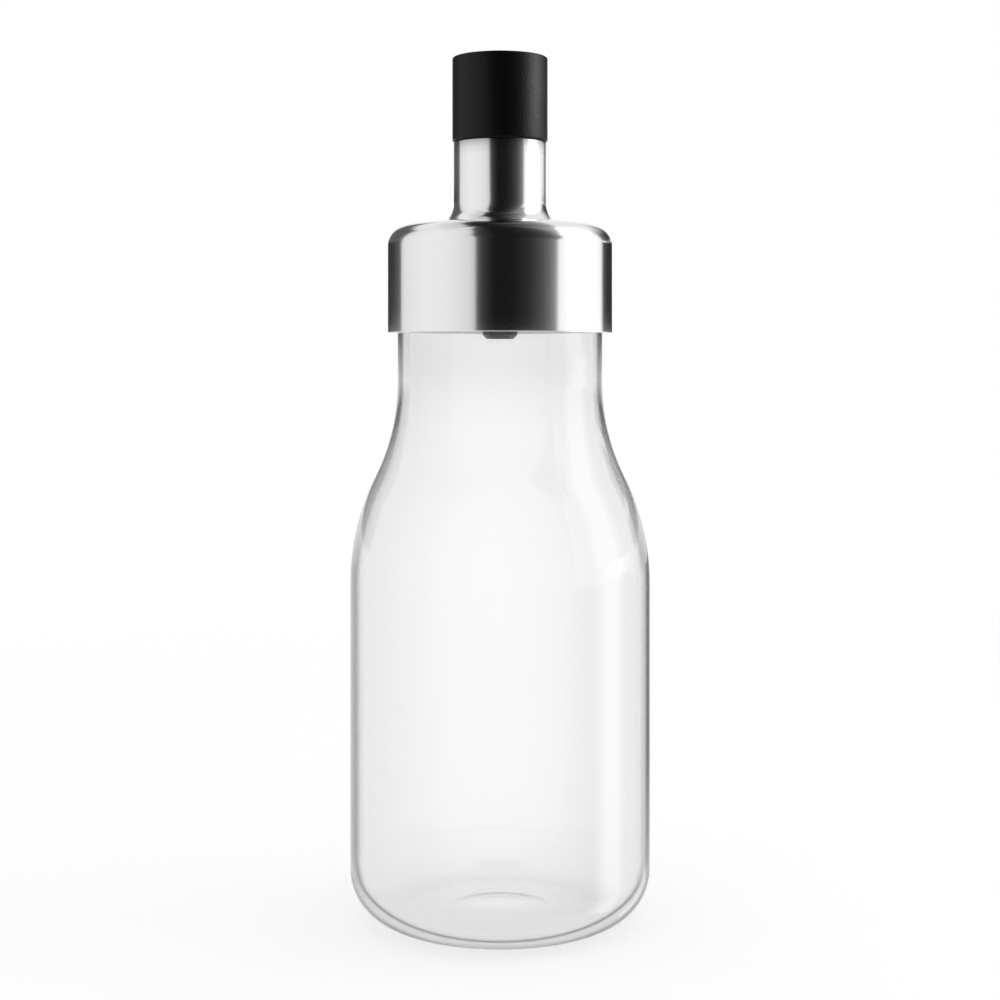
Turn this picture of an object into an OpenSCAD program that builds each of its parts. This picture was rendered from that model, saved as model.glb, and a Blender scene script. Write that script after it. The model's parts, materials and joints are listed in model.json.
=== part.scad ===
// Salad dressing shaker: a blown glass bottle with a push-in lid of steel and plastic,
// and a push-in stopper in the lid's pouring pipe. All of it is turned about the Z axis.
// Millimetres, Z up, with the origin at the middle of the face that the bottle stands on.

/* [Bottle] */
// Height of the glass, from the face it stands on to its lip
bottle_h = 156.5; // [140:0.5:180]
// Outer diameter of the straight body
body_d = 69.6; // [62:0.2:80]
// Outer diameter of the straight neck
neck_d = 47.6; // [42:0.2:52]
// Length of the straight neck, from the lip down
neck_len = 31.8; // [28:0.2:40]
// Radius of the hollow curve below the neck
hollow_r = 49.7; // [40:0.1:60]
// Radius of the full curve above the body
full_r = 54.4; // [44:0.1:64]
// Radius of the heel between the body and the base
heel_r = 12; // [9:0.5:16]
// Thickness of the glass wall
glass_t = 2; // [1.6:0.1:2.6]
// Radius of the rounded edges of the lip
lip_edge_r = 0.8; // [0.5:0.05:0.9]
// Thickness of the glass at the base
base_t = 2.2; // [1.8:0.1:4]
// Width of the flat ring that the bottle stands on
foot_w = 2.6; // [2:0.1:4]
// Height by which the middle of the base is pushed up
kick_h = 1.2; // [0.8:0.1:2]
// Diameter of the round mark that the mould leaves under the base
mark_d = 23.2; // [16:0.2:28]
// Depth of that mark
mark_depth = 0.3; // [0.2:0.05:0.6]

/* [Lid shell] */
// Thickness of the steel
steel_t = 0.8; // [0.6:0.05:1]
// Height of the wide collar
collar_h = 24.9; // [21:0.1:28]
// Outer radius of the collar's rounded shoulder
shoulder_r = 4.6; // [3.6:0.1:6]
// Radius of the hollow between the collar's top and the pipe
throat_r = 5.2; // [4:0.1:6]
// Outer diameter of the pouring pipe
pipe_d = 21.6; // [19:0.1:24]
// Height of the pipe above the collar's top
pipe_h = 19.4; // [18:0.1:24]
// Height of the hem that is turned in at the collar's lower edge
hem_h = 1; // [0.8:0.1:1.4]
// Width by which the hem stands in from the collar's wall
hem_w = 0.7; // [0.4:0.1:0.8]

/* [Lid plug] */
// Thickness of the flange over the bottle's lip
flange_t = 2.4; // [2:0.1:3]
// Thickness of the plug's wall
plug_wall = 2.4; // [2:0.1:3]
// Thickness of the plug's floor
plug_floor = 1.8; // [1.4:0.1:2.6]
// Height of the plug's underside above the collar's lower edge
plug_recess = 1.1; // [1:0.1:2]
// Thickness of the boss's wall around the pour tube
boss_wall = 2.8; // [2.4:0.1:3.6]
// Height of the boss, from the plug's underside
boss_h = 6; // [5:0.1:8]
// Thickness of the plastic liner inside the collar
liner_t = 1; // [0.8:0.05:1.2]

/* [Seals] */
// Thickness of the gasket on the bottle's lip
gasket_t = 1; // [0.8:0.1:1.6]
// Thickness of the neck seal's sleeve, which lies in a groove of the plug
sleeve_t = 1; // [0.8:0.05:1.2]
// Length of the neck seal's sleeve
sleeve_len = 12; // [10:0.5:14]
// Number of fins on the neck seal
neck_fins = 3; // [2:1:4]
// Thickness of a fin at its root
fin_root = 1.4; // [1:0.1:1.8]
// Thickness of a fin at its edge
fin_edge = 0.6; // [0.4:0.1:0.8]
// Diameter of the round cord of the tube seal
tube_cord_d = 1.5; // [1.2:0.1:1.8]
// Diameter of the round cord of the pipe seal
pipe_cord_d = 1.4; // [1.2:0.1:1.6]

/* [Pour tube] */
// Outer diameter of the pour tube
tube_d = 8.2; // [7.6:0.1:9.4]
// Diameter of the bore that the dressing runs through
bore_d = 5.8; // [5:0.1:6]
// Distance that the tube's tip hangs below the collar
tip_drop = 1.4; // [0.8:0.1:3]
// Height of the chamfer round the tip
tip_h = 0.9; // [0.6:0.1:1.4]
// Width of the chamfer round the tip
tip_w = 0.9; // [0.6:0.05:1]
// Height of the ring that stops the tube on the boss
stop_h = 1.4; // [1:0.1:2]
// Height of the funnel's rim above the collar's top
rim_up = 8.2; // [8:0.1:9]
// Height of the straight part of the funnel's rim
rim_h = 4.4; // [4:0.1:5]
// Height of the funnel's cone inside
cone_h = 11.5; // [10:0.1:13]
// Thickness of the funnel's edge
rim_t = 1; // [0.8:0.05:1.2]
// Width of the shoulder under the funnel's rim that holds it below the pipe
catch_w = 1; // [0.8:0.1:1.4]

/* [Stopper] */
// Height of the stopper's head
head_h = 19.4; // [16:0.1:24]
// Distance that the head stands out over the pipe
head_over = 0.3; // [0.2:0.05:0.5]
// Radius of the head's upper edge
head_edge_r = 0.4; // [0.2:0.1:1]
// Width and height of the chamfer at the head's lower edge
head_foot = 0.25; // [0.15:0.05:0.4]
// Thickness of the head's side wall
head_wall = 1.6; // [1.2:0.1:2]
// Thickness of the head's top
head_top = 2; // [1.4:0.1:3]
// Thickness of the seal's brim between the pipe and the head
brim_t = 0.3; // [0.2:0.05:0.6]
// Distance that the brim stays in from the pipe's outer face
brim_in = 0.2; // [0.1:0.05:0.5]
// Length of the seal inside the pipe
seal_len = 9; // [8:0.5:10]
// Distance of the seal's body from the pipe's wall
seal_in = 1; // [0.8:0.1:1.4]
// Thickness of the seal's wall around the stem
seal_wall = 2.8; // [2:0.1:3.4]
// Thickness of the seal's closed end
seal_end = 1.8; // [1.2:0.1:2.4]
// Number of fins on the stopper's seal
stopper_fins = 3; // [2:1:4]
// Thickness of the stem's plate inside the head
plate_t = 2; // [1.5:0.1:3]
// Diameter of the stem's post inside the head
post_d = 6; // [5:0.1:8]
// Thickness of the head's socket around the post
socket_t = 1.5; // [1:0.1:2]

/* [Clearances] */
// Gap between faces that slide when the lid or the stopper is pulled
slide_gap = 0.1; // [0.06:0.01:0.15]
// Gap under a piece that is seated but can be lifted off
seat_gap = 0.1; // [0.05:0.01:0.15]
// Gap between pieces that are pressed together for good
fit_gap = 0.02; // [0.01:0.01:0.05]
// Gap between the glass neck and the liner
liner_gap = 0.48; // [0.4:0.01:0.8]
// Gap between the plug's wall and the glass
plug_gap = 0.9; // [0.7:0.05:1.2]

/* [Hidden] */
$fn = 180;

// Depth by which two arcs that flow into each other overlap, so that their faces join
meld = 0.003;

// Rounds a worked-out size to a thousandth of a millimetre
function snap(x) = round(x * 1000) / 1000;

// Radii of the glass
body_r = body_d / 2;
neck_r = neck_d / 2;
mouth_r = neck_r - glass_t;
lip_r = min(lip_edge_r, 0.45 * glass_t);
lip_z = bottle_h - lip_r;
heel_cr = body_r - heel_r;
foot_in_r = heel_cr - foot_w;
kick_r = snap((foot_in_r * foot_in_r + kick_h * kick_h) / (2 * kick_h));

// The shoulder is a full arc and a hollow arc that meet where both lean by lean_a
lean_a = acos(1 - (body_r - neck_r) / (full_r + hollow_r));
hollow_z = bottle_h - neck_len;
full_z = snap(hollow_z - (full_r + hollow_r) * sin(lean_a));

// Heights of the lid, stacked on the bottle's lip
gasket_z = bottle_h + seat_gap;
flange_z = gasket_z + gasket_t;
ceiling_z = flange_z + flange_t;
collar_top_z = ceiling_z + steel_t;
collar_z = collar_top_z - collar_h;
pipe_top_z = collar_top_z + pipe_h;
plug_z = collar_z + plug_recess;

// Radii of the lid
liner_in_r = neck_r + liner_gap;
collar_in_r = liner_in_r + liner_t + fit_gap;
collar_r = collar_in_r + steel_t;
pipe_r = pipe_d / 2;
pipe_in_r = pipe_r - steel_t;
throat_cr = pipe_r + throat_r;
throat_z = collar_top_z + throat_r;
plug_r = mouth_r - plug_gap;
plug_in_r = plug_r - plug_wall;
groove_r = plug_r - sleeve_t;
seal_z = (plug_z + bottle_h - sleeve_len) / 2;

// Pour tube
tube_r = tube_d / 2;
bore_r = bore_d / 2;
boss_r = tube_r + boss_wall;
boss_top_z = plug_z + boss_h;
tip_z = collar_z - tip_drop;
rim_z = collar_top_z + rim_up;
rim_r = pipe_in_r - slide_gap;
cup_r = rim_r - rim_t;
cone_z = rim_z - cone_h;
catch_r = pipe_in_r + catch_w;
catch_drop = sqrt(pow(throat_r + steel_t, 2) - pow(throat_cr - catch_r, 2));
catch_z = snap(throat_z - catch_drop - fit_gap);
funnel_foot_z = cone_z - (tube_r - bore_r);

// Stopper
brim_z = pipe_top_z + seat_gap;
head_z = brim_z + brim_t;
head_top_z = head_z + head_h;
head_r = pipe_r + head_over;
head_in_r = head_r - head_wall;
plate_r = head_in_r - fit_gap;
seal_r = pipe_in_r - seal_in;
pocket_r = seal_r - seal_wall;
seal_end_z = pipe_top_z - seal_len;
post_r = post_d / 2;
post_top_z = head_top_z - head_top - 1;

// A ring's cross-section: from r0 to r1 away from the axis, and from z0 to z1 high
module band(r0, r1, z0, z1) {
    polygon([[r0, z0], [r1, z0], [r1, z1], [r0, z1]]);
}

// Turns a cross-section about the Z axis
module turned() {
    rotate_extrude() children();
}

// A corner of radius r at the top of a block that reaches out to edge_r and up to top_z
module round_top(edge_r, top_z, r) {
    intersection() {
        band(0, edge_r, top_z - r, top_z);
        union() {
            band(0, edge_r - r, top_z - r, top_z);
            translate([edge_r - r, top_z - r]) circle(r);
        }
    }
}

// A corner of radius r at the bottom of a block that reaches out to edge_r and down to low_z
module round_foot(edge_r, low_z, r) {
    intersection() {
        band(0, edge_r, low_z, low_z + r);
        union() {
            band(0, edge_r - r, low_z, low_z + r);
            translate([edge_r - r, low_z + r]) circle(r);
        }
    }
}

// The bottle's outline, set in by inset, with its floor at floor_z and its neck up to top_z
module bottle_outline(inset, floor_z, top_z) {
    heel_z = floor_z + heel_r - inset;
    meet_z = snap(full_z + (full_r - inset) * sin(lean_a));
    meet_r = snap(body_r - full_r + (full_r - inset) * cos(lean_a));
    round_foot(body_r - inset, floor_z, heel_r - inset);
    band(0, body_r - inset, heel_z, full_z);
    difference() {
        union() {
            intersection() {
                translate([body_r - full_r, full_z]) circle(full_r - inset);
                band(0, body_r, full_z, hollow_z);
            }
            band(0, meet_r, meet_z, hollow_z);
        }
        translate([neck_r + hollow_r, hollow_z]) circle(hollow_r + inset + meld);
    }
    band(0, neck_r - inset, full_z, top_z);
}

// The dome by which the base is pushed up, lifted by rise
module kick(rise) {
    translate([0, kick_h - kick_r + rise]) circle(kick_r);
}

// The lid shell's outline, set in by inset, from low_z up to top_z
module shell_outline(inset, low_z, top_z) {
    crown_z = collar_top_z - inset;
    band(0, collar_r - inset, low_z, collar_top_z - shoulder_r);
    round_top(collar_r - inset, crown_z, shoulder_r - inset);
    difference() {
        band(0, throat_cr, crown_z, throat_z);
        translate([throat_cr, throat_z]) circle(throat_r + inset);
    }
    band(0, pipe_r - inset, throat_z, top_z);
}

// A seal's fin: thick at its root radius r0 and thin at its edge r1, with its middle at height z
module fin(r0, r1, z) {
    polygon([[r0, z - fin_root / 2], [r1, z - fin_edge / 2],
             [r1, z + fin_edge / 2], [r0, z + fin_root / 2]]);
}

// Blown glass bottle with a rounded lip and heel and a pushed-up base
module glass_bottle() {
    color("lightcyan", 0.35) turned() difference() {
        union() {
            bottle_outline(0, 0, lip_z);
            round_top(neck_r, bottle_h, lip_r);
        }
        difference() {
            bottle_outline(glass_t, base_t, lip_z);
            kick(base_t);
        }
        difference() {
            band(0, mouth_r + lip_r, lip_z, bottle_h + 1);
            translate([mouth_r + lip_r, lip_z]) circle(lip_r);
        }
        kick(0);
        intersection() {
            kick(mark_depth);
            band(0, mark_d / 2, -1, kick_h + mark_depth + 1);
        }
    }
}

// Drawn steel shell: collar, shoulder and pouring pipe, with the collar's lower edge hemmed in
module lid_shell() {
    color("silver") turned() {
        difference() {
            shell_outline(0, collar_z, pipe_top_z);
            shell_outline(steel_t, collar_z - 1, pipe_top_z + 1);
        }
        band(collar_in_r - hem_w, collar_in_r, collar_z, collar_z + hem_h);
    }
}

// Plastic liner between the collar and the glass, held in by the hem
module collar_liner() {
    color([0.12, 0.12, 0.12]) turned() intersection() {
        shell_outline(steel_t + fit_gap, collar_z, ceiling_z);
        band(liner_in_r, collar_in_r, collar_z + hem_h + fit_gap, flange_z);
    }
}

// Plastic plug: a cup in the bottle's neck, with a flange over the lip and a boss for the tube
module plug_body() {
    cord_r = tube_cord_d / 2;
    color([0.1, 0.1, 0.1]) turned() difference() {
        union() {
            intersection() {
                shell_outline(steel_t + fit_gap, collar_z, ceiling_z);
                band(plug_in_r, collar_in_r, flange_z, ceiling_z);
            }
            band(plug_in_r, plug_r, plug_z, flange_z);
            band(tube_r + fit_gap, plug_in_r, plug_z, plug_z + plug_floor);
            band(tube_r + fit_gap, boss_r, plug_z, boss_top_z);
        }
        band(groove_r, plug_r + 1, seal_z, seal_z + sleeve_len);
        band(tube_r, tube_r + 2 * cord_r, plug_z + boss_h / 2 - cord_r, plug_z + boss_h / 2 + cord_r);
    }
}

// Silicone washer between the flange and the bottle's lip
module rim_gasket() {
    color([0.2, 0.2, 0.2]) turned()
        band(plug_r + fit_gap, liner_in_r - fit_gap, gasket_z, flange_z);
}

// Silicone sleeve in the plug's groove, with fins that press on the neck
module neck_seal() {
    step = sleeve_len / neck_fins;
    color([0.2, 0.2, 0.2]) turned() {
        band(groove_r + fit_gap, plug_r, seal_z + fit_gap, seal_z + sleeve_len - fit_gap);
        for (i = [0:neck_fins - 1])
            fin(plug_r - sleeve_t / 2, mouth_r - slide_gap, seal_z + (i + 0.5) * step);
    }
}

// Plastic tube with a funnel at its upper end, which lets drops run back into the bottle
module pour_tube() {
    cord_r = pipe_cord_d / 2;
    cord_z = rim_z - rim_h / 2;
    color([0.08, 0.08, 0.08]) turned() difference() {
        union() {
            polygon([[bore_r, tip_z], [tube_r - tip_w, tip_z], [tube_r, tip_z + tip_h],
                     [tube_r, funnel_foot_z], [rim_r, rim_z - rim_h], [rim_r, rim_z],
                     [cup_r, rim_z], [bore_r, cone_z]]);
            band(tube_r - fit_gap, boss_r, boss_top_z, boss_top_z + stop_h);
            polygon([[tube_r, cone_z], [catch_r, catch_z - rim_t], [catch_r, catch_z],
                     [rim_r - rim_t, catch_z]]);
        }
        band(pipe_in_r - 2 * cord_r - fit_gap, pipe_in_r, cord_z - cord_r, cord_z + cord_r);
    }
}

// Silicone ring between the pour tube and the plug's boss
module tube_seal() {
    cord_r = tube_cord_d / 2 - fit_gap;
    color([0.2, 0.2, 0.2]) turned()
        translate([tube_r + tube_cord_d / 2, plug_z + boss_h / 2]) circle(cord_r);
}

// Silicone ring between the funnel's rim and the steel pipe
module pipe_seal() {
    cord_r = pipe_cord_d / 2 - fit_gap;
    color([0.2, 0.2, 0.2]) turned()
        translate([pipe_in_r - pipe_cord_d / 2, rim_z - rim_h / 2]) circle(cord_r);
}

// Matt black head of the stopper: a cup with a socket for the stem's post
module stopper_head() {
    color([0.05, 0.05, 0.05]) turned() difference() {
        union() {
            round_top(head_r, head_top_z, head_edge_r);
            band(0, head_r, head_z + head_foot, head_top_z - head_edge_r);
            polygon([[0, head_z], [head_r - head_foot, head_z],
                     [head_r, head_z + head_foot], [0, head_z + head_foot]]);
        }
        band(post_r + socket_t, head_in_r, head_z + plate_t, head_top_z - head_top);
        band(0, head_in_r, head_z - 1, head_z + plate_t);
        band(0, post_r + fit_gap, head_z, post_top_z);
    }
}

// Plastic stem: a plate in the head's mouth, a post in its socket and a pin in the seal
module stopper_stem() {
    color([0.14, 0.14, 0.14]) turned() {
        band(0, plate_r, head_z, head_z + plate_t);
        band(0, post_r, head_z + plate_t, post_top_z - fit_gap);
        band(0, pocket_r - fit_gap, seal_end_z + seal_end + fit_gap, head_z);
    }
}

// Silicone seal of the stopper: a brim on the pipe's edge and a finned plug inside it
module stopper_seal() {
    step = seal_len / stopper_fins;
    color([0.18, 0.18, 0.18]) turned() difference() {
        union() {
            band(0, pipe_r - brim_in, brim_z, head_z);
            band(0, seal_r, seal_end_z, brim_z);
            for (i = [0:stopper_fins - 1])
                fin(seal_r - seal_wall / 2, pipe_in_r - slide_gap, seal_end_z + (i + 0.5) * step);
        }
        band(0, pocket_r, seal_end_z + seal_end, head_z + 1);
    }
}

glass_bottle();
lid_shell();
collar_liner();
plug_body();
rim_gasket();
neck_seal();
pour_tube();
tube_seal();
pipe_seal();
stopper_head();
stopper_stem();
stopper_seal();
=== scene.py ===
"""Looks of a dressing shaker: a blown glass bottle, a satin steel lid and a matt black stopper.

Everything is in metres, with Z up and the origin in the middle of the face that the bottle
stands on. Each piece is turned about the Z axis, as the real ones are.
"""

import json
import logging
import math
from dataclasses import dataclass
from enum import Enum

import bpy
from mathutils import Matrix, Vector

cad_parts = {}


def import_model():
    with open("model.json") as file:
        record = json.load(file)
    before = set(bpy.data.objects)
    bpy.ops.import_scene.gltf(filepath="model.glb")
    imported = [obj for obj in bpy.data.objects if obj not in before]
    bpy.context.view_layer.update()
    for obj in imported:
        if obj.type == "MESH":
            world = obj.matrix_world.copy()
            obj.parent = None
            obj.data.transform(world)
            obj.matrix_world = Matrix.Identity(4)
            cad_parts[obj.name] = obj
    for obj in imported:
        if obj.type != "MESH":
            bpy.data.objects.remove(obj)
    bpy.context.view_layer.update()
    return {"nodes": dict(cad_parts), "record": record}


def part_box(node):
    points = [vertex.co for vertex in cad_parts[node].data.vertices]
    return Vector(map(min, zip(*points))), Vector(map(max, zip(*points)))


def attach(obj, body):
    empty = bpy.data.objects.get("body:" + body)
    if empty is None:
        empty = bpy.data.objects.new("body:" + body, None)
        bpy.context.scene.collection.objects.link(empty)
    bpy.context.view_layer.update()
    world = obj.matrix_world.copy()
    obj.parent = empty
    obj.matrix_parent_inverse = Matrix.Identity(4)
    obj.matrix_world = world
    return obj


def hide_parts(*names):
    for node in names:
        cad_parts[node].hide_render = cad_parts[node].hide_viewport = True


log = logging.getLogger("shaker")

MM = 0.001
WHITE = (1.0, 1.0, 1.0, 1.0)

# The numbers of a Mix node's sockets when it mixes colours: the share, both colours, the result.
COLOUR_MIX_INPUTS = (0, 6, 7)
COLOUR_MIX_OUTPUT = 2

# The least share of a card's height that a fade takes, because a range can't be empty.
LEAST_FADE = 0.001

Value = bpy.types.NodeSocket | float | tuple
Stops = tuple[tuple[float, float], ...]


class Body(Enum):
    """The three bodies that move apart."""

    BOTTLE = "bottle"
    LID = "lid"
    STOPPER = "stopper"


class Slot(Enum):
    """The record's material slots."""

    GLASS = "clear_glass"
    STEEL = "satin_steel"
    PLASTIC = "black_plastic"
    GLOSS_PLASTIC = "gloss_black_plastic"
    SILICONE = "grey_silicone"
    RUBBER = "matt_black_rubber"


class Board:
    """A material's or the world's node tree, with short calls to add and link nodes."""

    def __init__(self, tree: bpy.types.NodeTree) -> None:
        """Clears the tree.

        Args:
            tree: The node tree to fill.
        """
        self.tree = tree
        self.tree.nodes.clear()

    @classmethod
    def of_material(cls, name: str) -> tuple[bpy.types.Material, "Board"]:
        """Makes a new material with an empty tree.

        Args:
            name: The material's name.

        Returns:
            The material and its board.
        """
        material = bpy.data.materials.new(name)
        material.use_nodes = True
        return material, cls(material.node_tree)

    def add(self, kind: str, settings: dict | None = None, **values) -> bpy.types.Node:
        """Adds a node.

        Args:
            kind: The node's type, without the word ShaderNode.
            settings: Values for the node's own properties.
            **values: Values or outputs for its inputs, with _ for a space in the name.

        Returns:
            The node.
        """
        node = self.tree.nodes.new("ShaderNode" + kind)
        for name, value in (settings or {}).items():
            setattr(node, name, value)
        for name, value in values.items():
            self.put(node.inputs[name.replace("_", " ")], value)
        return node

    def put(self, socket: bpy.types.NodeSocket, value: Value) -> None:
        """Sets or links an input: value is a number, a colour or another node's output."""
        if isinstance(value, bpy.types.NodeSocket):
            self.tree.links.new(value, socket)
        else:
            socket.default_value = value

    def math(self, operation: str, a: Value, b: Value = 0.0) -> bpy.types.NodeSocket:
        """Adds a Math node.

        Args:
            operation: The node's operation, such as MULTIPLY.
            a: The first value or output.
            b: The second value or output.

        Returns:
            The node's output.
        """
        node = self.add("Math", {"operation": operation})
        self.put(node.inputs[0], a)
        self.put(node.inputs[1], b)
        return node.outputs[0]

    def vector_math(
        self, operation: str, a: Value, b: Value | None = None
    ) -> bpy.types.NodeSocket:
        """Adds a Vector Math node.

        Args:
            operation: The node's operation, such as MULTIPLY.
            a: The first vector or output.
            b: The second one, where the operation takes two.

        Returns:
            The node's vector, or its number where the operation is LENGTH.
        """
        node = self.add("VectorMath", {"operation": operation})
        self.put(node.inputs[0], a)
        if b is not None:
            self.put(node.inputs[1], b)
        return node.outputs["Value" if operation == "LENGTH" else "Vector"]

    def mix(
        self, share: Value, first: bpy.types.Node, second: bpy.types.Node
    ) -> bpy.types.NodeSocket:
        """Mixes two shaders.

        Args:
            share: How much of the second one shows, from 0 to 1.
            first: The first shader.
            second: The second shader.

        Returns:
            The mixed shader.
        """
        node = self.add("MixShader", Fac=share)
        self.put(node.inputs[1], first.outputs[0])
        self.put(node.inputs[2], second.outputs[0])
        return node.outputs[0]

    def mix_colours(self, share: Value, first: Value, second: Value) -> bpy.types.NodeSocket:
        """Mixes two colours, with share as how much of the second one shows, from 0 to 1."""
        node = self.add("Mix", {"data_type": "RGBA"})
        for index, value in zip(COLOUR_MIX_INPUTS, (share, first, second)):
            self.put(node.inputs[index], value)
        return node.outputs[COLOUR_MIX_OUTPUT]

    def spread(self, factor: Value, middle: float, spread: float) -> bpy.types.NodeSocket:
        """Returns a number that lies within a spread on either side of a middle one."""
        node = self.add(
            "MapRange", Value=factor, To_Min=middle - spread, To_Max=middle + spread
        )
        return node.outputs[0]

    def bump(self, height: Value, strength: float, depth: float) -> bpy.types.NodeSocket:
        """Returns a normal that follows a pattern, whose depth is given in metres."""
        node = self.add("Bump", Strength=strength, Distance=depth, Height=height)
        return node.outputs["Normal"]

    def ramp(self, factor: Value, stops: Stops) -> bpy.types.NodeSocket:
        """Adds a grey Color Ramp.

        Args:
            factor: The output that drives it.
            stops: Pairs of position and grey value.

        Returns:
            The ramp's colour output.
        """
        node = self.add("ValToRGB", Fac=factor)
        elements = node.color_ramp.elements
        while len(elements) < len(stops):
            elements.new(1.0)
        for element, (position, grey) in zip(elements, stops):
            element.position = position
            element.color = (grey, grey, grey, 1.0)
        return node.outputs["Color"]

    def place(self) -> bpy.types.NodeSocket:
        """Returns the point of the surface in the object's own frame, in metres."""
        return self.add("TexCoord").outputs["Object"]

    def height(self) -> bpy.types.NodeSocket:
        """Returns how high the surface's point is above the object's origin, in metres."""
        return self.add("SeparateXYZ", Vector=self.place()).outputs["Z"]

    def by_height(self, top: float, stops: Stops) -> bpy.types.NodeSocket:
        """Adds a grey value that changes with height.

        Args:
            top: The height at which the ramp ends, in metres.
            stops: Pairs of height, in millimetres, and grey value.

        Returns:
            The ramp's colour output.
        """
        level = self.math("DIVIDE", self.height(), top)
        return self.ramp(level, tuple((z * MM / top, grey) for z, grey in stops))

    def turned_place(
        self, along: float, across: float
    ) -> tuple[bpy.types.NodeSocket, bpy.types.NodeSocket]:
        """Makes coordinates in which a pattern follows the lathe's lines round the Z axis.

        Args:
            along: How fast the pattern changes on the way round, in turns of noise.
            across: How fast it changes from line to line, per metre.

        Returns:
            A vector output and a value output, for a 4D texture's Vector and W.
        """
        split = self.add("SeparateXYZ", Vector=self.place())
        flat = self.add("CombineXYZ", X=split.outputs["X"], Y=split.outputs["Y"]).outputs[0]
        unit = self.vector_math("NORMALIZE", flat)
        scaled = self.vector_math("MULTIPLY", unit, (along, along, along))
        ring = self.add("SeparateXYZ", Vector=scaled)
        height = self.math("MULTIPLY", split.outputs["Z"], across)
        vector = self.add("CombineXYZ", X=ring.outputs["X"], Y=ring.outputs["Y"], Z=height)
        return vector.outputs[0], self.math("MULTIPLY", self.vector_math("LENGTH", flat), across)

    def output(self, shader: bpy.types.NodeSocket) -> None:
        """Links a shader to the material's output."""
        self.add("OutputMaterial", Surface=shader)


@dataclass(frozen=True)
class ClearGlass:
    """Clear blown glass with a faint slow wave in it, and painted shade in its colour.

    The clearness stops are pairs of how far the surface turns away and how much light it lets
    through: a slight tint in the middle, then painted shade towards the edges and a painted dark
    line near the edge. The heel's stops do the same for the bottle's thick heel. The least stops
    are pairs of height, in millimetres, and the least clearness there, which thins the painted
    edge shade on the shoulder. The shade stops are pairs of height and a share of the clearness:
    painted shade, darker towards the top of the neck under the lid.
    """

    name: str
    clearness_and_painted_rims: Stops
    heel_clearness_and_painted_rims: Stops = ()
    least: Stops = ()
    shade: Stops = ()
    heel_low: float = 4.0 * MM
    heel_high: float = 17.0 * MM
    heel_turn: float = 0.23
    top: float = 160.0 * MM
    ior: float = 1.5
    shadow_tint: tuple = (0.93, 0.93, 0.93, 1.0)
    wave_scale: float = 38.0
    wave_detail: float = 1.0
    wave_roughness: float = 0.4
    wave_strength: float = 0.03
    wave_depth: float = 0.2 * MM

    def material(self) -> bpy.types.Material:
        """Builds the material."""
        material, board = Board.of_material(self.name)
        wave = board.add(
            "TexNoise",
            Vector=board.place(),
            Scale=self.wave_scale,
            Detail=self.wave_detail,
            Roughness=self.wave_roughness,
        )
        glass = board.add(
            "BsdfPrincipled",
            Base_Color=self.colour_with_painted_shade(board),
            Roughness=0.0,
            IOR=self.ior,
            Transmission_Weight=1.0,
            Normal=board.bump(wave.outputs["Fac"], self.wave_strength, self.wave_depth),
        )
        clear = board.add("BsdfTransparent", Color=self.shadow_tint)
        in_shadow = board.add("LightPath").outputs["Is Shadow Ray"]
        board.output(board.mix(in_shadow, glass, clear))
        return material

    def colour_with_painted_shade(self, board: Board) -> bpy.types.NodeSocket:
        """Returns how much light passes, with the painted shade, from the surface's slant and height.
        """
        slant = board.add("LayerWeight", Blend=0.5).outputs["Facing"]
        if self.heel_clearness_and_painted_rims:
            heel = board.add(
                "MapRange",
                {"interpolation_type": "SMOOTHSTEP"},
                Value=board.height(),
                From_Min=self.heel_high,
                From_Max=self.heel_low,
            ).outputs[0]
            slant = board.math("ADD", slant, board.math("MULTIPLY", heel, self.heel_turn))
            colour = board.mix_colours(
                heel,
                board.ramp(slant, self.clearness_and_painted_rims),
                board.ramp(slant, self.heel_clearness_and_painted_rims),
            )
        else:
            colour = board.ramp(slant, self.clearness_and_painted_rims)
        for operation, stops in (("MAXIMUM", self.least), ("MULTIPLY", self.shade)):
            if stops:
                colour = board.vector_math(operation, colour, board.by_height(self.top, stops))
        return colour


@dataclass(frozen=True)
class SatinSteel:
    """Stainless steel with the fine lines of a belt that ran round it on a lathe.

    The shade stops are pairs of height, in millimetres, and a share of its colour: painted shade
    that darkens the top of the pipe under the stopper's head.
    """

    colour: tuple = (0.79, 0.79, 0.79)
    roughness: float = 0.13
    roughness_spread: float = 0.03
    anisotropy: float = 0.5
    lines_per_metre: float = 9000.0
    line_wander: float = 2.0
    line_detail: float = 3.0
    line_strength: float = 0.1
    line_depth: float = 0.01 * MM
    top: float = 182.0 * MM
    # painted shade under the stopper's head, darker towards the pipe's top
    shade: Stops = ((176.8, 1.0), (178.4, 0.86), (179.3, 0.7), (179.8, 0.55), (181.0, 0.5))

    def material(self) -> bpy.types.Material:
        """Builds the material."""
        material, board = Board.of_material("satin_steel")
        vector, w = board.turned_place(self.line_wander, self.lines_per_metre)
        lines = board.add(
            "TexNoise",
            {"noise_dimensions": "4D"},
            Vector=vector,
            W=w,
            Scale=1.0,
            Detail=self.line_detail,
        ).outputs["Fac"]
        shade = board.by_height(self.top, self.shade)
        tangent = board.add("Tangent", {"direction_type": "RADIAL", "axis": "Z"})
        steel = board.add(
            "BsdfPrincipled",
            Base_Color=board.vector_math("MULTIPLY", self.colour, shade),
            Metallic=1.0,
            Roughness=board.spread(lines, self.roughness, self.roughness_spread),
            Anisotropic=self.anisotropy,
            Normal=board.bump(lines, self.line_strength, self.line_depth),
            Tangent=tangent.outputs[0],
        )
        board.output(steel.outputs[0])
        return material


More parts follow.
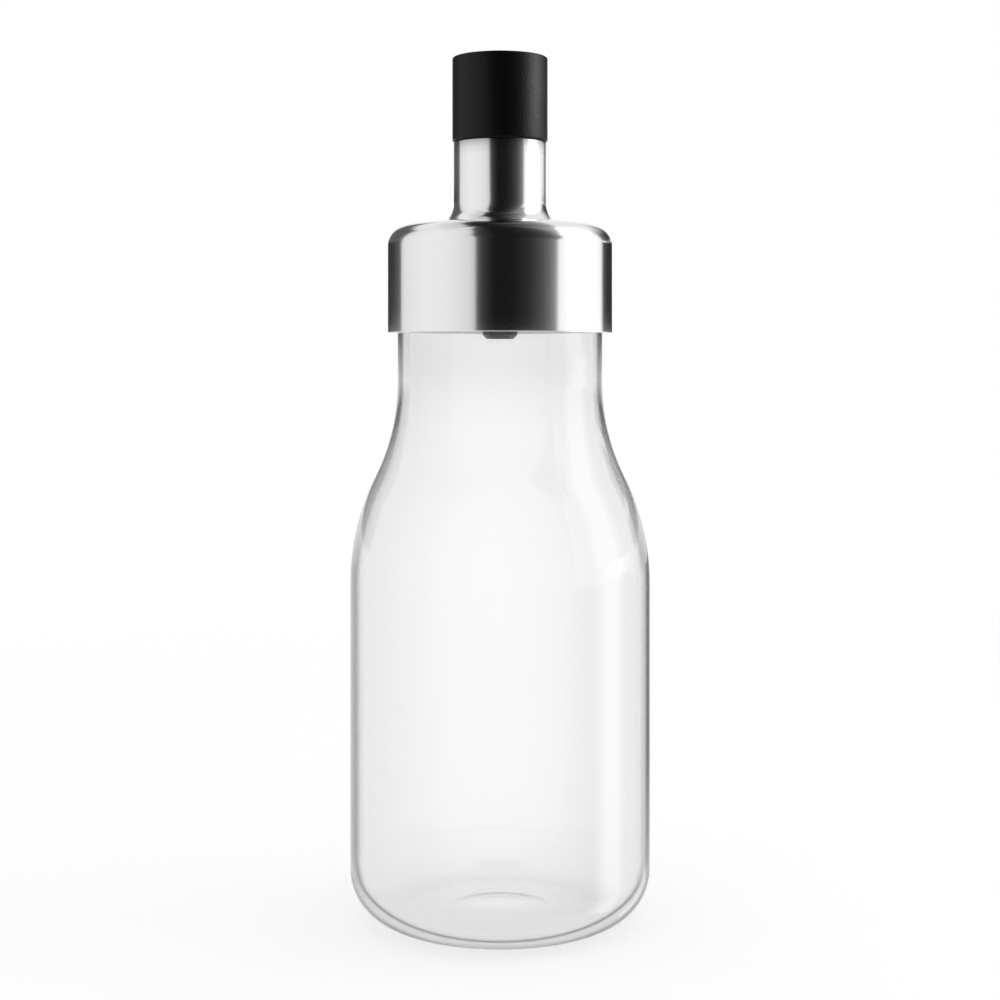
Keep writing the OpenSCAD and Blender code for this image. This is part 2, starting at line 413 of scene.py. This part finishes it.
@dataclass(frozen=True)
class BlackSurface:
    """A black moulded surface with a fine grain: rubber, silicone or plastic."""

    name: str
    grey: float
    roughness: float
    grain_scale: float
    grain_strength: float
    grain_depth: float = 0.05 * MM
    grain_detail: float = 2.0
    grain_roughness: float = 0.6
    roughness_spread: float = 0.05
    cloud_scale: float = 60.0
    cloud_low: float = 0.3
    cloud_high: float = 0.7
    cloud_spread: float = 0.15
    shine: float = 0.5

    def material(self) -> bpy.types.Material:
        """Builds the material."""
        material, board = Board.of_material(self.name)
        grain = board.add(
            "TexNoise",
            Vector=board.place(),
            Scale=self.grain_scale,
            Detail=self.grain_detail,
            Roughness=self.grain_roughness,
        ).outputs["Fac"]
        cloud = board.add(
            "TexNoise", Vector=board.place(), Scale=self.cloud_scale, Detail=self.grain_detail
        ).outputs["Fac"]
        darker = self.grey * (1.0 - self.cloud_spread)
        paler = self.grey * (1.0 + self.cloud_spread)
        black = board.add(
            "BsdfPrincipled",
            Base_Color=board.ramp(cloud, ((self.cloud_low, darker), (self.cloud_high, paler))),
            Roughness=board.spread(grain, self.roughness, self.roughness_spread),
            Specular_IOR_Level=self.shine,
            Normal=board.bump(grain, self.grain_strength, self.grain_depth),
        )
        board.output(black.outputs[0])
        return material


FINISHES = {
    Slot.GLASS: ClearGlass(
        "clear_glass",
        # slight tint in the middle, painted shade towards the edges and a painted dark line near the
        # edge
        (
            (0.0, 0.965),
            (0.04, 0.958),
            (0.09, 0.935),
            (0.146, 0.88),
            (0.2, 0.86),
            (0.56, 0.78),
            (0.635, 0.66),
            (0.69, 0.2),
            (0.73, 0.05),
            (0.83, 0.05),
            (1.0, 0.12),
        ),
        # the same painted edge shade and painted dark line, for the thick heel
        heel_clearness_and_painted_rims=(
            (0.0, 0.965),
            (0.09, 0.935),
            (0.2, 0.87),
            (0.6, 0.84),
            (0.66, 0.78),
            (0.69, 0.4),
            (0.725, 0.03),
            (0.76, 0.5),
            (0.8, 0.72),
            (0.92, 0.7),
            (1.0, 0.45),
        ),
        # lifts the painted edge shade on the shoulder
        least=((80.0, 0.0), (91.0, 0.32), (108.0, 0.3), (119.0, 0.0)),
    ),
    Slot.STEEL: SatinSteel(),
    Slot.PLASTIC: BlackSurface(
        "black_plastic", grey=0.03, roughness=0.42, grain_scale=1500.0, grain_strength=0.15
    ),
    Slot.GLOSS_PLASTIC: BlackSurface(
        "gloss_black_plastic", grey=0.015, roughness=0.15, grain_scale=900.0, grain_strength=0.05
    ),
    Slot.SILICONE: BlackSurface(
        "grey_silicone",
        grey=0.01,
        roughness=0.6,
        grain_scale=1800.0,
        grain_strength=0.1,
        shine=0.3,
    ),
    Slot.RUBBER: BlackSurface(
        "matt_black_rubber",
        grey=0.002,
        roughness=0.34,
        grain_scale=3200.0,
        grain_strength=1.0,
        grain_depth=0.07 * MM,
        shine=0.18,
    ),
}

INNER_GLASS = ClearGlass(
    "clear_glass_inside",
    ((0.0, 0.985), (1.0, 0.985)),
    # painted shade of the lid, darker towards the top of the neck
    shade=(
        (104.0, 1.0),
        (113.6, 0.977),
        (120.5, 0.935),
        (127.4, 0.865),
        (131.0, 0.855),
        (137.0, 0.87),
    ),
)


@dataclass(frozen=True)
class Corner:
    """A corner of a cross-section: its distance from the axis, its height and its rounding."""

    r: float
    z: float
    rounding: float = 0.0


@dataclass
class Section:
    """A closed cross-section to be turned about the Z axis, given by its corners in order.

    A straight stretch longer than a few holds gets a point one hold from either end, so that the
    smooth shading of a rounded corner stays near the corner.
    """

    corners: list[Corner]
    arc_step: float = math.radians(4.0)
    hold: float = 0.25 * MM
    least_arc_steps: int = 3
    least_holds: float = 4.0

    def points(self) -> list[tuple[float, float]]:
        """Rounds the corners, and adds points near the ends of long straight stretches.

        Returns:
            Pairs of distance from the axis and height, in order.
        """
        rounded = []
        count = len(self.corners)
        for i, corner in enumerate(self.corners):
            rounded += self.arc(self.corners[i - 1], corner, self.corners[(i + 1) % count])
        held = []
        for i, (r0, z0) in enumerate(rounded):
            r1, z1 = rounded[(i + 1) % len(rounded)]
            held.append((r0, z0))
            length = math.hypot(r1 - r0, z1 - z0)
            if length > self.least_holds * self.hold and max(r0, r1) > 0.0:
                for share in (self.hold / length, 1.0 - self.hold / length):
                    held.append((r0 + (r1 - r0) * share, z0 + (z1 - z0) * share))
        return held

    def arc(self, before: Corner, corner: Corner, after: Corner) -> list[tuple[float, float]]:
        """Rounds one corner.

        Args:
            before: The corner before it.
            corner: The corner to round.
            after: The corner after it.

        Returns:
            The points of its arc, or the corner alone where it stays sharp.
        """
        if corner.rounding <= 0.0:
            return [(corner.r, corner.z)]
        middle = Vector((corner.r, corner.z))
        back = (Vector((before.r, before.z)) - middle).normalized()
        ahead = (Vector((after.r, after.z)) - middle).normalized()
        half = math.acos(max(-1.0, min(1.0, back.dot(ahead)))) / 2.0
        centre = middle + (back + ahead).normalized() * (corner.rounding / math.sin(half))
        start = middle + back * (corner.rounding / math.tan(half)) - centre
        sweep = math.pi - 2.0 * half
        if back.cross(ahead) > 0.0:
            sweep = -sweep
        steps = max(self.least_arc_steps, math.ceil(abs(sweep) / self.arc_step))
        found = []
        for i in range(steps + 1):
            turn = sweep * i / steps
            c, s = math.cos(turn), math.sin(turn)
            r = centre.x + start.x * c - start.y * s
            z = centre.y + start.x * s + start.y * c
            found.append((r, z))
        return found


@dataclass(frozen=True)
class Lathe:
    """Turns a cross-section into a closed solid."""

    steps: int = 256
    weld: float = 0.001 * MM
    smooth_angle: float = math.radians(32.0)

    def turn(self, name: str, section: Section) -> bpy.types.Object:
        """Draws the section point by point and spins it about the Z axis.

        Args:
            name: The piece's name.
            section: Its cross-section.

        Returns:
            The piece, at the origin, with its place in its mesh.
        """
        points = section.points()
        deselect_all()
        bpy.ops.mesh.primitive_plane_add(size=MM)
        piece = bpy.context.object
        piece.name = name
        piece.data.name = name
        bpy.ops.object.mode_set(mode="EDIT")
        bpy.ops.mesh.select_mode(type="VERT")
        bpy.ops.mesh.select_all(action="SELECT")
        bpy.ops.mesh.merge(type="CENTER")
        bpy.ops.transform.translate(value=(points[0][0], 0.0, points[0][1]))
        for (r0, z0), (r1, z1) in zip(points, points[1:] + points[:1]):
            bpy.ops.mesh.extrude_region_move(
                TRANSFORM_OT_translate={"value": (r1 - r0, 0.0, z1 - z0)}
            )
        bpy.ops.mesh.select_all(action="SELECT")
        bpy.ops.mesh.remove_doubles(threshold=self.weld)
        bpy.ops.mesh.spin(
            steps=self.steps, angle=2.0 * math.pi, center=(0.0, 0.0, 0.0), axis=(0.0, 0.0, 1.0)
        )
        bpy.ops.mesh.select_all(action="SELECT")
        bpy.ops.mesh.remove_doubles(threshold=self.weld)
        bpy.ops.mesh.dissolve_degenerate(threshold=0.1 * self.weld)
        bpy.ops.mesh.select_all(action="SELECT")
        bpy.ops.mesh.normals_make_consistent(inside=False)
        bpy.ops.object.mode_set(mode="OBJECT")
        bpy.ops.object.shade_smooth_by_angle(angle=self.smooth_angle)
        return piece


@dataclass
class Bottle:
    """The blown glass bottle, which the record calls glass_bottle."""

    lathe: Lathe
    neck_r: float = 23.8 * MM
    neck_length: float = 31.8 * MM
    hollow_r: float = 49.7 * MM
    full_r: float = 54.4 * MM
    heel_r: float = 12.0 * MM
    wall: float = 2.0 * MM
    base: float = 2.2 * MM
    lip_rounding: float = 0.8 * MM
    foot_width: float = 2.6 * MM
    kick: float = 1.2 * MM
    mark_r: float = 11.6 * MM
    mark_depth: float = 0.03 * MM
    mark_slope: float = 2.0 * MM
    dome_steps: int = 12
    arc_step: float = math.radians(2.0)
    blend: float = 8.0 * MM
    floor_slant: float = 0.7

    def __post_init__(self) -> None:
        """Works out the sizes that follow from the CAD node's box and the ones above."""
        _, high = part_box("glass_bottle")
        self.body_r = high[0]
        self.height = high[2]
        self.foot_in_r = self.body_r - self.heel_r - self.foot_width
        arcs = self.full_r + self.hollow_r
        self.lean = math.acos(1.0 - (self.body_r - self.neck_r) / arcs)
        self.hollow_z = self.height - self.neck_length
        self.full_z = self.hollow_z - arcs * math.sin(self.lean)

    def build(self, outside: bpy.types.Material, inside: bpy.types.Material) -> bpy.types.Object:
        """Turns the bottle and dresses it.

        Args:
            outside: The glass of its outer faces.
            inside: The glass of its inner faces.

        Returns:
            The bottle.
        """
        corners = self.underside() + self.side(0.0, 0.0) + self.inner()
        section = Section(corners, arc_step=self.arc_step, hold=self.blend)
        piece = self.lathe.turn("bottle_glass", section)
        finish(piece, Body.BOTTLE, Slot.GLASS, outside, "glass_bottle")
        self.line(piece, inside)
        return piece

    def line(self, piece: bpy.types.Object, inside: bpy.types.Material) -> None:
        """Gives the faces inside the bottle their own material.

        Args:
            piece: The bottle.
            inside: The glass of its inner faces.
        """
        piece.data.materials.append(inside)
        floor_top = self.base + 2.0 * self.kick
        for face in piece.data.polygons:
            normal, middle = face.normal, face.center
            wall = normal.x * middle.x + normal.y * middle.y < 0.0 and middle.z > self.base
            floor = normal.z > self.floor_slant and middle.z < floor_top
            if wall or floor:
                face.material_index = 1

    def dome(self, r: float, rise: float) -> float:
        """Returns the height of the pushed-up base at a distance from the axis."""
        return self.kick * (1.0 + math.cos(math.pi * r / self.foot_in_r)) / 2.0 + rise

    def underside(self) -> list[Corner]:
        """Returns the corners under the base, from the axis out to the foot."""
        steps = 3 * self.dome_steps
        found = []
        for i in range(steps + 1):
            r = self.foot_in_r * i / steps
            past = max(-1.0, min(1.0, (r - self.mark_r) / self.mark_slope))
            rise = self.mark_depth * (1.0 - math.sin(past * math.pi / 2.0)) / 2.0
            found.append(Corner(r, self.dome(r, rise)))
        return found

    def side(self, inset: float, low: float) -> list[Corner]:
        """Returns the corners of the side, from the heel up to the lip.

        Args:
            inset: How far the side stands in from the outer face.
            low: The height of its foot.

        Returns:
            The corners, from the heel up.
        """
        half = math.tan(self.lean / 2.0)
        return [
            Corner(self.body_r - inset, low, self.heel_r - inset),
            Corner(
                self.body_r - inset,
                self.full_z + (self.full_r - inset) * half,
                self.full_r - inset,
            ),
            Corner(
                self.neck_r - inset,
                self.hollow_z - (self.hollow_r + inset) * half,
                self.hollow_r + inset,
            ),
            Corner(self.neck_r - inset, self.height, self.lip_rounding),
        ]

    def inner(self) -> list[Corner]:
        """Returns the corners inside, from the lip down to the middle of the floor."""
        steps = range(self.dome_steps + 1)
        floor = [self.foot_in_r * i / self.dome_steps for i in steps]
        rising = [Corner(r, self.dome(r, self.base)) for r in floor]
        return (rising + self.side(self.wall, self.base))[::-1]


@dataclass
class Lid:
    """The lid's steel shell and the finned seal in the neck.

    The lid's other pieces are shown as their CAD nodes.
    """

    lathe: Lathe
    steel: float = 0.8 * MM
    collar_height: float = 24.9 * MM
    shoulder_r: float = 4.6 * MM
    throat_r: float = 5.2 * MM
    pipe_r: float = 10.8 * MM
    hem_height: float = 1.0 * MM
    hem_width: float = 0.7 * MM
    foot_rounding: float = 0.12 * MM
    hem_rounding: float = 0.6 * MM
    edge_rounding: float = 0.2 * MM
    plug_r: float = 20.9 * MM
    fins: int = 3
    sleeve: float = 1.0 * MM
    sleeve_gap: float = 0.02 * MM
    fin_root: float = 1.4 * MM
    fin_edge: float = 0.6 * MM
    fin_root_rounding: float = 0.15 * MM
    fin_edge_rounding: float = 0.2 * MM

    def build(self, finishes: dict[Slot, bpy.types.Material]) -> list[bpy.types.Object]:
        """Turns the lid's pieces and dresses them.

        Args:
            finishes: The material of each slot.

        Returns:
            The pieces.
        """
        shell = self.lathe.turn("lid_steel", self.shell_section())
        finish(shell, Body.LID, Slot.STEEL, finishes[Slot.STEEL], "lid_shell")
        seal = self.lathe.turn("neck_fins", self.neck_section())
        finish(seal, Body.LID, Slot.SILICONE, finishes[Slot.SILICONE], "neck_seal")
        return [shell, seal]

    def shell_section(self) -> Section:
        """Returns the steel's section: collar, shoulder, throat and pipe, with its rolled hem."""
        low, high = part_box("lid_shell")
        outer, foot, top = high[0], low[2], high[2]
        crown = foot + self.collar_height
        inner = outer - self.steel
        edge, hem = self.edge_rounding, self.hem_rounding
        pipe_in = self.pipe_r - self.steel
        return Section(
            [
                Corner(outer, foot, self.foot_rounding),
                Corner(outer, crown, self.shoulder_r),
                Corner(self.pipe_r, crown, self.throat_r),
                Corner(self.pipe_r, top, edge),
                Corner(pipe_in, top, edge),
                Corner(pipe_in, crown - self.steel, self.throat_r + self.steel),
                Corner(inner, crown - self.steel, self.shoulder_r - self.steel),
                Corner(inner, foot + self.hem_height),
                Corner(inner - self.hem_width, foot + self.hem_height, edge),
                Corner(inner - self.hem_width, foot, hem),
            ]
        )

    def neck_section(self) -> Section:
        """Returns the section of the neck's seal: a sleeve with round-edged fins."""
        low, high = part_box("neck_seal")
        reach, foot, top = high[0], low[2], high[2]
        inside = self.plug_r - self.sleeve + self.sleeve_gap
        half_root, half_edge = self.fin_root / 2.0, self.fin_edge / 2.0
        corners = [Corner(inside, top), Corner(inside, foot), Corner(self.plug_r, foot)]
        for i in range(self.fins):
            z = foot + (i + 0.5) * (top - foot) / self.fins
            corners += [
                Corner(self.plug_r, z - half_root, self.fin_root_rounding),
                Corner(reach, z - half_edge, self.fin_edge_rounding),
                Corner(reach, z + half_edge, self.fin_edge_rounding),
                Corner(self.plug_r, z + half_root, self.fin_root_rounding),
            ]
        return Section(corners + [Corner(self.plug_r, top)])


@dataclass
class Stopper:
    """The stopper's matt black head. Its stem and its seal are shown as their CAD nodes."""

    lathe: Lathe
    edge_rounding: float = 0.4 * MM
    foot_rounding: float = 0.12 * MM
    wall: float = 1.6 * MM
    top: float = 2.0 * MM
    mouth: float = 2.0 * MM
    post_r: float = 3.02 * MM
    post_top: float = 3.0 * MM
    socket_r: float = 4.5 * MM

    def build(self, finishes: dict[Slot, bpy.types.Material]) -> bpy.types.Object:
        """Turns the stopper's head and dresses it.

        Args:
            finishes: The material of each slot.

        Returns:
            The head.
        """
        head = self.lathe.turn("stopper_cap", self.head_section())
        finish(head, Body.STOPPER, Slot.RUBBER, finishes[Slot.RUBBER], "stopper_head")
        return head

    def head_section(self) -> Section:
        """Returns the head's section: a cup, open below, with a socket for the stem's post."""
        low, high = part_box("stopper_head")
        outer, foot, top = high[0], low[2], high[2]
        inner = outer - self.wall
        return Section(
            [
                Corner(0.0, top),
                Corner(outer, top, self.edge_rounding),
                Corner(outer, foot, self.foot_rounding),
                Corner(inner, foot),
                Corner(inner, top - self.top, self.edge_rounding),
                Corner(self.socket_r, top - self.top, self.edge_rounding),
                Corner(self.socket_r, foot + self.mouth),
                Corner(self.post_r, foot + self.mouth),
                Corner(self.post_r, top - self.post_top),
                Corner(0.0, top - self.post_top),
            ]
        )


@dataclass(frozen=True)
class Card:
    """A card that only mirrors show, as rows of points, in millimetres, and its brightness.

    Each row holds its points' y and z, and then the x of each of them from left to right. The
    stops are pairs of the place across the card, from 0 to 1, and a grey value. The columns of
    points are evenly spaced from 0 to 1.
    """

    name: str
    rows: tuple
    stops: Stops

    def build(self) -> None:
        """Makes the card as a grid and sets each of its rows."""
        columns = len(self.rows[0]) - 2
        deselect_all()
        bpy.ops.mesh.primitive_grid_add(
            x_subdivisions=columns - 1, y_subdivisions=len(self.rows) - 1, size=1.0, calc_uvs=True
        )
        card = bpy.context.object
        card.name = self.name
        for i, (y, z, *across) in enumerate(self.rows):
            for j, x in enumerate(across):
                card.data.vertices[columns * i + j].co = (x * MM, y * MM, z * MM)
        hide_but_in_mirrors(card, self.stops)


@dataclass(frozen=True)
class Flag:
    """A tall card round the bottle that only mirrors show, from one direction to another.

    The directions are in degrees from the camera's to the right, seen from the bottle. The
    stops are pairs of the place between them, from 0 to 1, and a grey value.
    """

    name: str
    start: float
    end: float
    stops: Stops
    distance: float = 1.2
    foot: float = 0.0
    top: float = 0.8
    foot_fade: float = 0.0
    top_fade: float = 0.0
    steps: int = 12

    def build(self) -> None:
        """Bends a grid into an upright sheet round the bottle."""
        deselect_all()
        bpy.ops.mesh.primitive_grid_add(
            x_subdivisions=self.steps, y_subdivisions=1, size=1.0, calc_uvs=True
        )
        flag = bpy.context.object
        flag.name = self.name
        for i, z in enumerate((self.foot, self.top)):
            for j in range(self.steps + 1):
                turn = math.radians(self.start + (self.end - self.start) * j / self.steps)
                place = (self.distance * math.sin(turn), -self.distance * math.cos(turn), z)
                flag.data.vertices[(self.steps + 1) * i + j].co = place
        height = self.top - self.foot
        hide_but_in_mirrors(flag, self.stops, self.foot_fade / height, self.top_fade / height)


def hide_but_in_mirrors(
    card: bpy.types.Object, stops: Stops, foot_fade: float = 0.0, top_fade: float = 0.0
) -> None:
    """Gives a card its glow, and leaves it in mirror images alone.

    Args:
        card: The card, with a UV map.
        stops: Pairs of the place across it, from 0 to 1, and a grey value.
        foot_fade: The share of its height over which its foot thins out.
        top_fade: The same for its top.
    """
    material, board = Board.of_material(card.name)
    split = board.add("SeparateXYZ", Vector=board.add("TexCoord").outputs["UV"])
    gain = max(grey for _, grey in stops)
    scaled = tuple((place, grey / gain) for place, grey in stops)
    up = split.outputs["Y"]
    down = board.math("SUBTRACT", 1.0, up)
    rise = board.add("MapRange", Value=up, From_Max=max(foot_fade, LEAST_FADE))
    fall = board.add("MapRange", Value=down, From_Max=max(top_fade, LEAST_FADE))
    clear = board.add("BsdfTransparent")
    glow = board.add("Emission", Color=board.ramp(split.outputs["X"], scaled), Strength=gain)
    share = board.math("MULTIPLY", rise.outputs[0], fall.outputs[0])
    board.output(board.mix(share, clear, glow))
    card.data.materials.append(material)
    card.visible_camera = False
    card.visible_diffuse = False
    card.visible_shadow = False
    card.visible_transmission = False


def front_cards() -> tuple[Card, ...]:
    """Returns the cards between the camera and the lid.

    One stands right before the lid and darkens the middle of the steel. One hangs overhead and
    does the same for the shoulder and the throat. A strip serves the tip of the pour tube.
    """
    return (
        Card(
            "card_front",
            (
                (-55.0, 135.2, -55.0, -18.5, 68.0),
                (-55.0, 162.0, -55.0, -18.5, 70.0),
                (-55.0, 172.0, -60.0, -22.5, 88.0),
                (-55.0, 188.0, -64.0, -24.0, 89.0),
                (-55.0, 225.0, -100.0, -34.5, 87.0),
                (-55.0, 320.0, -220.0, -50.0, 88.0),
            ),
            (
                (0.0, 1.0),
                (0.25, 0.93),
                (0.42, 0.84),
                (0.49, 0.7),
                (0.505, 0.08),
                (0.54, 0.03),
                (0.58, 0.006),
                (0.66, 0.008),
                (0.74, 0.028),
                (0.82, 0.08),
                (0.9, 0.18),
                (1.0, 0.36),
            ),
        ),
        Card(
            "card_over",
            (
                (-450.0, 900.0, -900.0, -350.0, 1130.0),
                (-24.0, 900.0, -600.0, -255.0, 560.0),
                (300.0, 900.0, -450.0, -210.0, 280.0),
                (560.0, 900.0, -250.0, -75.0, 150.0),
                (640.0, 900.0, -60.0, 0.0, 60.0),
            ),
            (
                (0.0, 0.9),
                (0.3, 0.8),
                (0.48, 0.7),
                (0.505, 0.06),
                (0.55, 0.012),
                (0.66, 0.016),
                (0.75, 0.06),
                (0.86, 0.22),
                (1.0, 0.5),
            ),
        ),
        Card(
            "card_tip",
            ((-55.0, 134.0, -10.8, 10.8), (-55.0, 135.2, -12.3, 12.3)),
            ((0.0, 0.02), (1.0, 0.02)),
        ),
    )


def soft_boxes() -> tuple[Flag, ...]:
    """Returns the panels whose streaks run down the glass and the steel.

    The tall ones stand at the sides. Smaller ones serve the heel, the neck and the stopper's
    head, and a greyer one stands between the camera and the right.
    """
    return (
        Flag(
            "soft_box_right",
            58.0,
            124.0,
            (
                (0.0, 1.15),
                (0.2, 1.2),
                (0.29, 2.1),
                (0.35, 3.0),
                (0.61, 3.0),
                (0.7, 1.9),
                (0.79, 1.25),
                (1.0, 1.15),
            ),
            foot=-0.05,
            top=2.6,
            top_fade=1.2,
        ),
        Flag(
            "soft_box_low",
            58.0,
            147.0,
            (
                (0.0, 0.4),
                (0.09, 0.2),
                (0.178, 0.3),
                (0.222, 1.0),
                (0.289, 2.3),
                (0.326, 2.75),
                (0.445, 2.75),
                (0.534, 1.3),
                (0.608, 1.05),
                (0.787, 1.05),
                (0.888, 1.7),
                (0.955, 1.7),
                (1.0, 1.0),
            ),
            distance=1.19,
            foot=-0.9,
            top=0.06,
            top_fade=0.08,
        ),
        Flag(
            "card_front_right",
            6.0,
            58.0,
            ((0.0, 0.95), (0.3, 0.78), (0.6, 0.62), (0.8, 0.5), (1.0, 0.4)),
            foot=-0.9,
            top=1.6,
            top_fade=1.0,
        ),
        Flag(
            "soft_box_neck",
            70.0,
            128.0,
            (
                (0.0, 1.0),
                (0.12, 1.7),
                (0.24, 2.7),
                (0.345, 3.6),
                (0.5, 3.7),
                (0.6, 3.3),
                (0.74, 2.0),
                (0.88, 1.5),
                (1.0, 1.1),
            ),
            distance=1.15,
            foot=0.03,
            top=0.157,
            foot_fade=0.05,
            top_fade=0.015,
        ),
        Flag(
            "strip_cap",
            68.0,
            104.0,
            ((0.0, 1.0), (0.3, 7.5), (0.7, 7.5), (1.0, 1.0)),
            distance=0.062,
            foot=0.187,
            top=0.22,
            foot_fade=0.006,
            top_fade=0.012,
        ),
        Flag(
            "soft_box_left",
            -118.0,
            -40.0,
            ((0.0, 0.88), (0.12, 0.94), (0.5, 1.04), (0.8, 1.0), (1.0, 0.95)),
            foot=-0.9,
            top=2.4,
            top_fade=1.8,
        ),
    )


def back_cards() -> tuple[Flag, ...]:
    """Returns the dark panels behind the bottle, which draw the edges of the steel and the heel."""
    return (
        Flag(
            "card_back_right",
            127.0,
            168.0,
            ((0.0, 0.04), (0.3, 0.02), (1.0, 0.02)),
            foot=0.12,
            top=0.27,
            foot_fade=0.04,
        ),
        Flag(
            "card_pipe_right", 139.0, 160.0, ((0.0, 0.3), (1.0, 0.3)), foot=0.27, top=0.345
        ),
        Flag(
            "card_high_right",
            128.0,
            163.0,
            ((0.0, 0.25), (0.3, 0.08), (0.6, 0.05), (1.0, 0.06)),
            foot=0.33,
            top=1.0,
            top_fade=0.45,
        ),
        Flag(
            "card_low_right",
            147.0,
            170.0,
            ((0.0, 0.9), (0.1, 0.4), (0.3, 0.2), (0.7, 0.35), (1.0, 0.6)),
            foot=-0.36,
            top=0.0,
            foot_fade=0.15,
        ),
        Flag(
            "card_back_left",
            -168.0,
            -119.0,
            ((0.0, 0.03), (0.6, 0.045), (1.0, 0.12)),
            foot=0.12,
            top=0.29,
            foot_fade=0.04,
            top_fade=0.03,
        ),
        Flag(
            "card_high_left",
            -165.0,
            -108.0,
            ((0.0, 0.14), (0.4, 0.11), (0.7, 0.12), (0.85, 0.35), (1.0, 0.7)),
            distance=1.25,
            foot=0.25,
            top=1.2,
            top_fade=0.2,
        ),
    )


@dataclass(frozen=True)
class Lamp:
    """A square area lamp for matt surfaces, which no mirror, glass or camera shows.

    It shines straight down, or to the left where it leans by 90 degrees. Its place and its side
    are in metres.
    """

    name: str
    place: tuple[float, float, float]
    lean: float
    side: float
    watts: float

    def build(self) -> None:
        """Adds the lamp."""
        turn = (0.0, math.radians(self.lean), 0.0)
        bpy.ops.object.light_add(type="AREA", location=self.place, rotation=turn)
        lamp = bpy.context.object
        lamp.name = self.name
        lamp.data.shape = "SQUARE"
        lamp.data.size = self.side
        lamp.data.energy = self.watts
        lamp.visible_glossy = False
        lamp.visible_transmission = False
        lamp.visible_camera = False


@dataclass
class Studio:
    """The white tent that the bottle is photographed in, and the camera."""

    camera_distance: float = 0.4309
    camera_height: float = 0.1287
    lens_mm: float = 66.56
    sensor_mm: float = 36.0
    shift_y: float = -0.1359
    clip_start: float = 0.01
    floor_size: float = 60.0
    fill: float = 0.75
    white: float = 1.0
    floor_grey: float = 0.95
    shadow_near: float = 0.15
    shadow_far: float = 0.6
    shadow_share: float = 0.3

    def build(self) -> None:
        """Builds the camera, the world, the floor, the lamps and the cards."""
        bpy.context.scene.view_settings.view_transform = "Standard"
        self.build_camera()
        self.build_world()
        self.build_floor()
        self.build_lamps()
        self.build_cards()

    def build_camera(self) -> None:
        """Places the camera at the photograph's point of view, looking level."""
        bpy.ops.object.camera_add(
            location=(0.0, -self.camera_distance, self.camera_height),
            rotation=(math.radians(90.0), 0.0, 0.0),
        )
        camera = bpy.context.object
        camera.name = "camera"
        camera.data.lens = self.lens_mm
        camera.data.sensor_width = self.sensor_mm
        camera.data.shift_y = self.shift_y
        camera.data.clip_start = self.clip_start
        bpy.context.scene.camera = camera

    def white_to_eye(self, board: Board) -> bpy.types.NodeSocket:
        """Returns 1 for the rays that see the background: from the camera, off metal, through glass."""
        path = board.add("LightPath")
        seen = board.math(
            "MAXIMUM", path.outputs["Is Camera Ray"], path.outputs["Is Glossy Ray"]
        )
        return board.math("MAXIMUM", seen, path.outputs["Is Transmission Ray"])

    def build_world(self) -> None:
        """Makes the world white to the eye and a plain grey fill to matt surfaces."""
        world = bpy.data.worlds.new("tent")
        bpy.context.scene.world = world
        world.use_nodes = True
        board = Board(world.node_tree)
        seen = self.white_to_eye(board)
        level = board.add("MapRange", Value=seen, To_Min=self.fill, To_Max=self.white)
        sky = board.add("Background", Color=WHITE, Strength=level.outputs[0])
        board.add("OutputWorld", Surface=sky.outputs[0])

    def build_floor(self) -> None:
        """Lays a white floor that keeps the bottle's shadow and meets the backdrop unseen."""
        deselect_all()
        bpy.ops.mesh.primitive_plane_add(size=self.floor_size)
        floor = bpy.context.object
        floor.name = "floor"
        material, board = Board.of_material("pale_floor")
        grey = self.floor_grey
        matt = board.add("BsdfDiffuse", Color=(grey, grey, grey, 1.0))
        glow = board.add("Emission", Color=WHITE)
        plain = board.add(
            "MapRange",
            {"interpolation_type": "SMOOTHSTEP"},
            Value=board.vector_math("LENGTH", board.place()),
            From_Min=self.shadow_near,
            From_Max=self.shadow_far,
            To_Min=1.0 - self.shadow_share,
        )
        share = board.math("MULTIPLY", self.white_to_eye(board), plain.outputs[0])
        board.output(board.mix(share, matt, glow))
        floor.data.materials.append(material)
        floor.visible_glossy = False

    def build_lamps(self) -> None:
        """Hangs a wide lamp overhead and one on the right."""
        Lamp("lamp_over", place=(0.0, 0.0, 1.6), lean=0.0, side=1.6, watts=6.5).build()
        Lamp("lamp_right", place=(0.9, 0.0, 0.6), lean=90.0, side=0.9, watts=4.0).build()

    def build_cards(self) -> None:
        """Stands soft boxes and dark cards round the bottle, for steel and glass to mirror."""
        for card in (*front_cards(), *soft_boxes(), *back_cards()):
            card.build()


def finish(
    piece: bpy.types.Object, body: Body, slot: Slot, material: bpy.types.Material, *nodes: str
) -> None:
    """Dresses a new piece and ties it to the frame.

    Args:
        piece: The piece.
        body: The body that it rides on.
        slot: The record's slot that its material belongs to; it is not used.
        material: Its material.
        *nodes: The CAD nodes that it stands for.
    """
    dress(piece, material)
    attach(piece, body.value)
    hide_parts(*nodes)


def deselect_all() -> None:
    """Deselects every object, so that an operator works on what is added next."""
    if bpy.context.object and bpy.context.object.mode != "OBJECT":
        bpy.ops.object.mode_set(mode="OBJECT")
    bpy.ops.object.select_all(action="DESELECT")


def dress(piece: bpy.types.Object, material: bpy.types.Material) -> None:
    """Gives a piece one material in place of whatever it has."""
    piece.data.materials.clear()
    piece.data.materials.append(material)


def main() -> None:
    """Builds the studio and the shaker's three sub-assemblies, and reports each piece."""
    logging.basicConfig(level=logging.INFO, format="%(name)s: %(message)s")
    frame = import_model()
    Studio().build()
    finishes = {slot: look.material() for slot, look in FINISHES.items()}
    inside = INNER_GLASS.material()
    slots = {row["node"]: row["material_slot"] for row in frame["record"]["subparts"]}
    for name, node in frame["nodes"].items():
        dress(node, finishes[Slot(slots[name])])
        log.info("%s: CAD node in %s", name, slots[name])
    lathe = Lathe()
    pieces = [
        Bottle(lathe).build(finishes[Slot.GLASS], inside),
        *Lid(lathe).build(finishes),
        Stopper(lathe).build(finishes),
    ]
    for piece in pieces:
        log.info("%s: %d faces", piece.name, len(piece.data.polygons))


if __name__ == "__main__":
    main()
